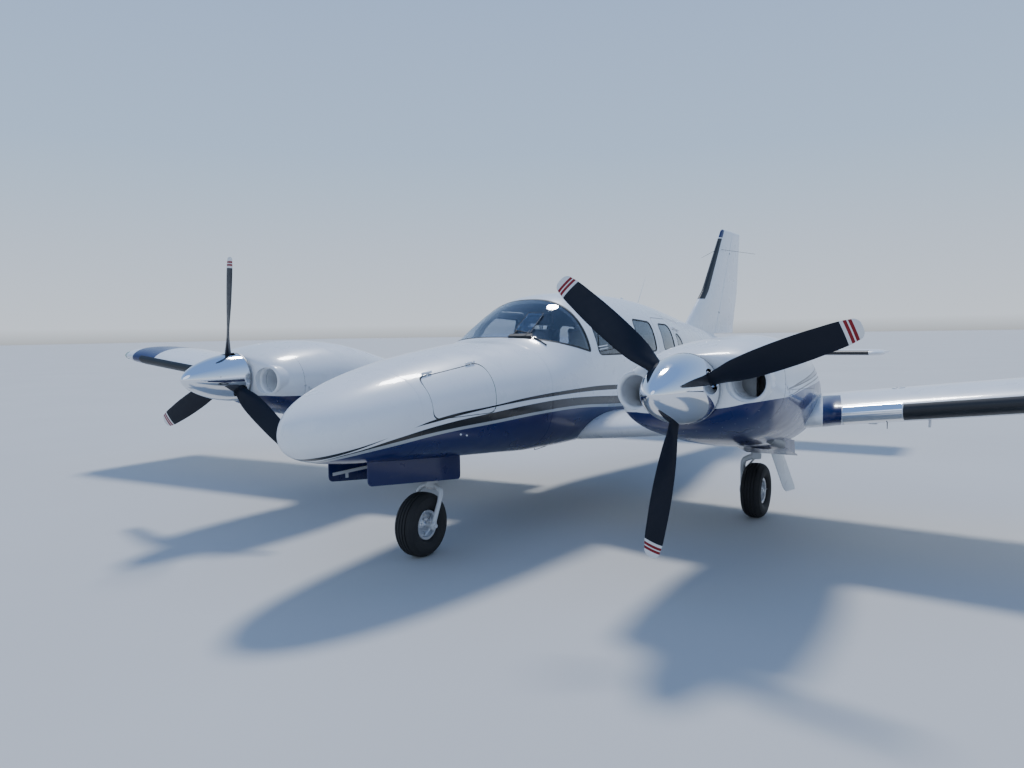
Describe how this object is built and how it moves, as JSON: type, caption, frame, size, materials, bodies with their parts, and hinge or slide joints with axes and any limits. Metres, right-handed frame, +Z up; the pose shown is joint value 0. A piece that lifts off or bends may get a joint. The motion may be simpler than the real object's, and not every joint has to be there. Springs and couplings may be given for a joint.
{
  "type": "light twin-engined aircraft",
  "caption": "Low-wing light aircraft with two piston engines, three-blade propellers and a wheeled gear, parked on its wheels.",
  "frame": {"origin": "on the ground below the middle of the length and the span", "axes": "+X to the aircraft's left along the span, +Y aft, +Z up"},
  "size_m": [11.86, 8.72, 2.94],
  "materials": {
    "paint_white": "gloss",
    "paint_blue": "gloss",
    "blade_black": "satin",
    "spinner_polish": "polished",
    "window_glass": "clear tint",
    "engine_grey": "plain",
    "tyre_rubber": "matt",
    "wheel_grey": "satin",
    "gear_white": "gloss",
    "seat_hide": "soft",
    "panel_dark": "matt"
  },
  "bodies": {
    "airframe": {"nose_cone": "paint_white", "nose_section": "paint_white", "cabin_shell": "paint_white", "tail_cone": "paint_white", "fin": "paint_white", "wing_left": "paint_white", "cowling_left": "paint_white", "nacelle_left": "paint_blue", "nose_door_left": "paint_blue", "engine_left": "engine_grey", "main_leg_left": "gear_white", "strut_door_left": "gear_white", "window_left_1": "window_glass", "window_left_2": "window_glass", "wing_right": "paint_white", "cowling_right": "paint_white", "nacelle_right": "paint_blue", "nose_door_right": "paint_blue", "engine_right": "engine_grey", "main_leg_right": "gear_white", "strut_door_right": "gear_white", "window_right_2": "window_glass", "window_right_3": "window_glass", "window_right_4": "window_glass", "windshield": "window_glass", "instrument_panel": "panel_dark", "seats_front": "seat_hide", "seats_middle": "seat_hide", "seats_rear": "seat_hide", "nose_leg": "gear_white"},
    "propeller_left": {"propeller_left": "blade_black", "spinner_left": "spinner_polish"},
    "propeller_right": {"propeller_right": "blade_black", "spinner_right": "spinner_polish"},
    "nose_steering": {"nose_fork": "gear_white"},
    "nose_wheel": {"nose_wheel": "wheel_grey", "nose_tyre": "tyre_rubber"},
    "main_wheel_left": {"main_wheel_left": "wheel_grey", "main_tyre_left": "tyre_rubber"},
    "main_wheel_right": {"main_wheel_right": "wheel_grey", "main_tyre_right": "tyre_rubber"},
    "baggage_door": {"baggage_door": "paint_white"},
    "front_door": {"front_door": "paint_white", "window_right_1": "window_glass"},
    "rear_door": {"rear_door": "paint_white", "window_left_3": "window_glass"},
    "cargo_door": {"cargo_door": "paint_white", "window_left_4": "window_glass"},
    "flap_left": {"flap_left": "paint_white"},
    "flap_right": {"flap_right": "paint_white"},
    "aileron_left": {"aileron_left": "paint_white"},
    "aileron_right": {"aileron_right": "paint_white"},
    "rudder": {"rudder": "paint_white"},
    "stabilator": {"stabilator": "paint_white"}
  },
  "joints": [
    {"name": "propeller_left_spin", "type": "hinge", "parent": "airframe", "child": "propeller_left", "pos_m": [1.91, -3.289, 1.215], "axis": [0, 1, 0], "continuous": true},
    {"name": "propeller_right_spin", "type": "hinge", "parent": "airframe", "child": "propeller_right", "pos_m": [-1.91, -3.289, 1.215], "axis": [0, 1, 0], "continuous": true},
    {"name": "nose_steer", "type": "hinge", "parent": "airframe", "child": "nose_steering", "pos_m": [0, -3.197, 0.2225], "axis": [0, 0.4257, 0.9049], "range_deg": [-27, 27]},
    {"name": "nose_wheel_roll", "type": "hinge", "parent": "nose_steering", "child": "nose_wheel", "pos_m": [0, -3.197, 0.2225], "axis": [1, 0, 0], "continuous": true},
    {"name": "main_wheel_left_roll", "type": "hinge", "parent": "airframe", "child": "main_wheel_left", "pos_m": [1.695, -0.97, 0.2225], "axis": [1, 0, 0], "continuous": true},
    {"name": "main_wheel_right_roll", "type": "hinge", "parent": "airframe", "child": "main_wheel_right", "pos_m": [-1.695, -0.97, 0.2225], "axis": [1, 0, 0], "continuous": true},
    {"name": "baggage_door_hinge", "type": "hinge", "parent": "airframe", "child": "baggage_door", "pos_m": [0.32536, -3.56, 1.28919], "axis": [-0.1418, -0.9823, -0.1221], "range_deg": [0, 85]},
    {"name": "front_door_hinge", "type": "hinge", "parent": "airframe", "child": "front_door", "pos_m": [-0.65097, -1.692, 1.03962], "axis": [0.0507, 0, 0.9987], "range_deg": [0, 75]},
    {"name": "rear_door_hinge", "type": "hinge", "parent": "airframe", "child": "rear_door", "pos_m": [0.64874, -0.367, 0.999], "axis": [0.0173, 0, -0.9999], "range_deg": [0, 90]},
    {"name": "cargo_door_hinge", "type": "hinge", "parent": "airframe", "child": "cargo_door", "pos_m": [0.52848, 0.25, 1.56138], "axis": [0.08, -0.9855, 0.1496], "range_deg": [0, 85]},
    {"name": "flap_left_hinge", "type": "hinge", "parent": "airframe", "child": "flap_left", "pos_m": [2, -0.596, 0.87879], "axis": [-0.9937, 0, -0.1123], "range_deg": [0, 40]},
    {"name": "flap_right_hinge", "type": "hinge", "parent": "airframe", "child": "flap_right", "pos_m": [-2, -0.596, 0.87879], "axis": [-0.9937, 0, 0.1123], "range_deg": [0, 40]},
    {"name": "aileron_left_hinge", "type": "hinge", "parent": "airframe", "child": "aileron_left", "pos_m": [2, -0.596, 0.87879], "axis": [0.9937, 0, 0.1123], "range_deg": [-20, 35]},
    {"name": "aileron_right_hinge", "type": "hinge", "parent": "airframe", "child": "aileron_right", "pos_m": [-2, -0.596, 0.87879], "axis": [0.9937, 0, -0.1123], "range_deg": [-20, 35]},
    {"name": "rudder_hinge", "type": "hinge", "parent": "airframe", "child": "rudder", "pos_m": [0, 3.3875, 2.073], "axis": [0, 0.5295, 0.8483], "range_deg": [-35, 35]},
    {"name": "stabilator_pivot", "type": "hinge", "parent": "airframe", "child": "stabilator", "pos_m": [0, 3.74, 1.21], "axis": [1, 0, 0], "range_deg": [-7.5, 12.5]}
  ],
  "couplings": [
    {"joint": "flap_right_hinge", "follows": "flap_left_hinge", "ratio": 1}
  ]
}
